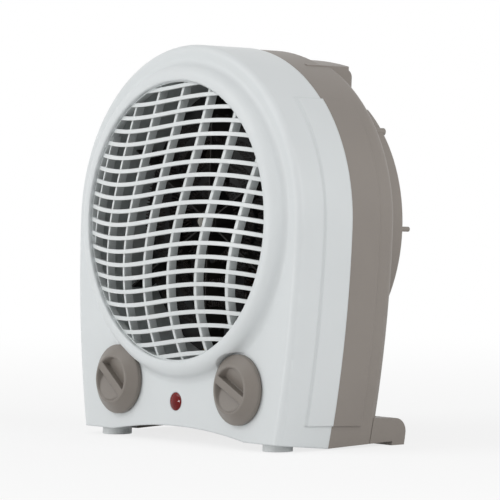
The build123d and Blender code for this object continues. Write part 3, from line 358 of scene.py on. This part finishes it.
@dataclass
class HeatingCoils:
    """Wound resistance wire along each coil ring."""

    axis: Axis
    radii_mm: tuple[float, ...] = (24.0, 38.0, 52.0, 66.0)
    layer_mm: tuple[float, ...] = (-28.0, -20.0)
    coil_r_mm: float = 1.7
    wire_r_mm: float = 0.3
    pitch_mm: float = 2.3
    gap_mm: float = 5.0
    steps_per_turn: int = 8
    sides: int = 4

    def path(self, radius: float, depth: float) -> list[Vector]:
        """Follows one ring of wound wire, from one side of the terminals to the other.

        Args:
            radius: radius of the ring in mm.
            depth: place of the ring behind the axis point in mm.

        Returns:
            Points along the wire in the heater's frame.
        """
        opening = self.gap_mm / radius
        length = (2 * math.pi - opening) * radius
        turns = round(length / self.pitch_mm)
        count = turns * self.steps_per_turn
        place = self.axis.placing()
        points = []
        for k in range(count + 1):
            around = -math.pi / 2 + opening / 2 + (2 * math.pi - opening) * k / count
            winding = 2 * math.pi * k / self.steps_per_turn
            reach = radius + self.coil_r_mm * math.cos(winding)
            local = Vector((reach * math.cos(around), depth + self.coil_r_mm * math.sin(winding),
                            reach * math.sin(around)))
            points.append(place @ (local * MM))
        return points

    def sweep(self, path: list[Vector], points: list[Vector],
              faces: list[tuple[int, ...]]) -> None:
        """Adds a tube round one path.

        Args:
            path: points along the wire.
            points: vertices so far, added to.
            faces: faces so far, added to.
        """
        start = len(points)
        for k, here in enumerate(path):
            ahead = (path[min(k + 1, len(path) - 1)] - path[max(k - 1, 0)]).normalized()
            side = ahead.cross(self.axis.back).normalized()
            over = side.cross(ahead)
            for s in range(self.sides):
                turn = 2 * math.pi * s / self.sides
                offset = side * math.cos(turn) + over * math.sin(turn)
                points.append(here + offset * self.wire_r_mm * MM)
        for k in range(len(path) - 1):
            for s in range(self.sides):
                low = start + k * self.sides
                t = (s + 1) % self.sides
                faces.append((low + s, low + t, low + self.sides + t, low + self.sides + s))

    def build(self, material: bpy.types.Material) -> None:
        """Sweeps a small section along every path, as one piece with all the rings.

        Args:
            material: the wire's finish.
        """
        points: list[Vector] = []
        faces: list[tuple[int, ...]] = []
        for radius in self.radii_mm:
            for depth in self.layer_mm:
                self.sweep(self.path(radius, depth), points, faces)
        piece = mesh_piece("wound_heating_wire", points, faces, "casing")
        piece.data.materials.append(material)
        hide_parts("heater_coils")
        LOG.info("wound_heating_wire: %d faces", len(faces))


@dataclass(frozen=True)
class SoftBox:
    """A square soft light: where it hangs, its side and its power."""

    name: str
    place: tuple[float, float, float]
    size: float
    watts: float


@dataclass
class Studio:
    """Pale floor, soft light and the camera at the photograph's viewing angle.

    The floor is paper. Where it is looked at it is white, except that a share of the real paper
    shows near the heater, with the heater's shadow, and fades out over shadow_reach.
    """

    azimuth_deg: float = 50.52
    elevation_deg: float = 2.55
    distance: float = 2.6462
    aim: tuple[float, float, float] = (0.01075, 0.00216, 0.1208)
    lens_mm: float = 300.2
    sensor_mm: float = 36.0
    farthest_seen: float = 100.0
    floor_size: float = 30.0
    paper_colour: str = "#F2F2F2"
    paper_roughness: float = 0.9
    shadow_reach: tuple[float, float] = (0.1, 1.1)
    shadow_share: float = 0.22
    ambient: float = 0.52
    boxes: tuple[SoftBox, ...] = (
        SoftBox("key_soft_box", place=(-0.9, -1.8, 1.6), size=1.4, watts=15.6),
        SoftBox("side_soft_box", place=(2.2, 0.4, 1.0), size=1.4, watts=17.0),
        SoftBox("low_front_fill", place=(-0.6, -2.1, 0.12), size=0.4, watts=9.4),
    )

    def camera(self) -> None:
        """Places the scene's camera."""
        azimuth = math.radians(self.azimuth_deg)
        elevation = math.radians(self.elevation_deg)
        away = Vector((math.sin(azimuth) * math.cos(elevation),
                       -math.cos(azimuth) * math.cos(elevation), math.sin(elevation)))
        data = bpy.data.cameras.new("viewpoint")
        data.lens = self.lens_mm
        data.sensor_width = self.sensor_mm
        data.clip_end = self.farthest_seen
        camera = bpy.data.objects.new("viewpoint", data)
        camera.location = Vector(self.aim) + away * self.distance
        camera.rotation_euler = away.to_track_quat("Z", "Y").to_euler()
        bpy.context.scene.collection.objects.link(camera)
        bpy.context.scene.camera = camera

    def seen_white(self, tree: bpy.types.NodeTree) -> bpy.types.NodeSocket:
        """Tells the rays that should meet a white backdrop: seen, mirrored or looked through.

        Args:
            tree: the node tree of the floor or the world.

        Returns:
            A socket that is 1 for those rays and 0 for light that falls on the heater.
        """
        rays = add_node(tree, "ShaderNodeLightPath", {}, {}).outputs
        seen = add_node(tree, "ShaderNodeMath", {"operation": "MAXIMUM"},
                        {0: rays["Is Camera Ray"], 1: rays["Is Glossy Ray"]})
        through = add_node(tree, "ShaderNodeMath", {"operation": "MAXIMUM"},
                           {0: seen.outputs[0], 1: rays["Is Transmission Ray"]})
        return through.outputs[0]

    def paper(self) -> bpy.types.Material:
        """Makes the floor's paper, white where it is looked at, with the shadow kept.

        Returns:
            The material, ready to assign.
        """
        material = bpy.data.materials.new("white_paper_sweep")
        material.use_nodes = True
        tree = material.node_tree
        paper = tree.nodes["Principled BSDF"]
        paper.inputs["Base Color"].default_value = to_linear(self.paper_colour)
        paper.inputs["Roughness"].default_value = self.paper_roughness
        paper.inputs["Specular IOR Level"].default_value = 0.0
        glow = add_node(tree, "ShaderNodeEmission", {"Strength": 1.0}, {})
        place = add_node(tree, "ShaderNodeTexCoord", {}, {}).outputs["Object"]
        far = add_node(tree, "ShaderNodeVectorMath", {"operation": "LENGTH"}, {0: place})
        near, end = self.shadow_reach
        fade = {"interpolation_type": "SMOOTHSTEP", "From Min": near, "From Max": end,
                "To Min": 1.0 - self.shadow_share}
        white = add_node(tree, "ShaderNodeMapRange", fade, {"Value": far.outputs["Value"]})
        share = add_node(tree, "ShaderNodeMath", {"operation": "MULTIPLY"},
                         {0: self.seen_white(tree), 1: white.outputs["Result"]})
        blend = add_node(tree, "ShaderNodeMixShader", {},
                         {0: share.outputs[0], 1: paper.outputs[0], 2: glow.outputs[0]})
        tree.links.new(blend.outputs[0], tree.nodes["Material Output"].inputs["Surface"])
        return material

    def floor(self) -> None:
        """Lays the floor."""
        half = self.floor_size / 2
        mesh = bpy.data.meshes.new("studio_floor")
        corners = [(-half, -half, 0), (half, -half, 0), (half, half, 0), (-half, half, 0)]
        mesh.from_pydata(corners, [], [(0, 1, 2, 3)])
        floor = bpy.data.objects.new("studio_floor", mesh)
        bpy.context.scene.collection.objects.link(floor)
        mesh.materials.append(self.paper())

    def world(self) -> None:
        """Makes the even light all round, white where it is looked at."""
        world = bpy.data.worlds.new("studio_light")
        world.use_nodes = True
        tree = world.node_tree
        level = add_node(tree, "ShaderNodeMapRange", {"To Min": self.ambient, "To Max": 1.0},
                         {"Value": self.seen_white(tree)})
        background = tree.nodes["Background"].inputs
        tree.links.new(level.outputs["Result"], background["Strength"])
        background["Color"].default_value = (1.0, 1.0, 1.0, 1.0)
        bpy.context.scene.world = world

    def lamp(self, box: SoftBox) -> None:
        """Hangs a soft light aimed at the heater.

        Args:
            box: the light to hang.
        """
        data = bpy.data.lights.new(box.name, "AREA")
        data.size = box.size
        data.energy = box.watts
        lamp = bpy.data.objects.new(box.name, data)
        lamp.location = box.place
        away = Vector(box.place) - Vector(self.aim)
        lamp.rotation_euler = away.to_track_quat("Z", "Y").to_euler()
        bpy.context.scene.collection.objects.link(lamp)

    def build(self) -> None:
        """Sets up the view, the floor and the lights."""
        bpy.context.scene.view_settings.view_transform = "Standard"
        self.camera()
        self.floor()
        self.world()
        for box in self.boxes:
            self.lamp(box)


def main() -> None:
    """Dresses the solids, winds the heating wire and sets the stage."""
    logging.basicConfig(level=logging.INFO, format="%(message)s")
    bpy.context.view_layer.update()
    dressing = Dressing()
    dressing.dress()
    HeatingCoils(Axis.of("fan_spin")).build(dressing.made[HEAT_WIRE.name])
    Studio().build()


if __name__ == "__main__":
    main()
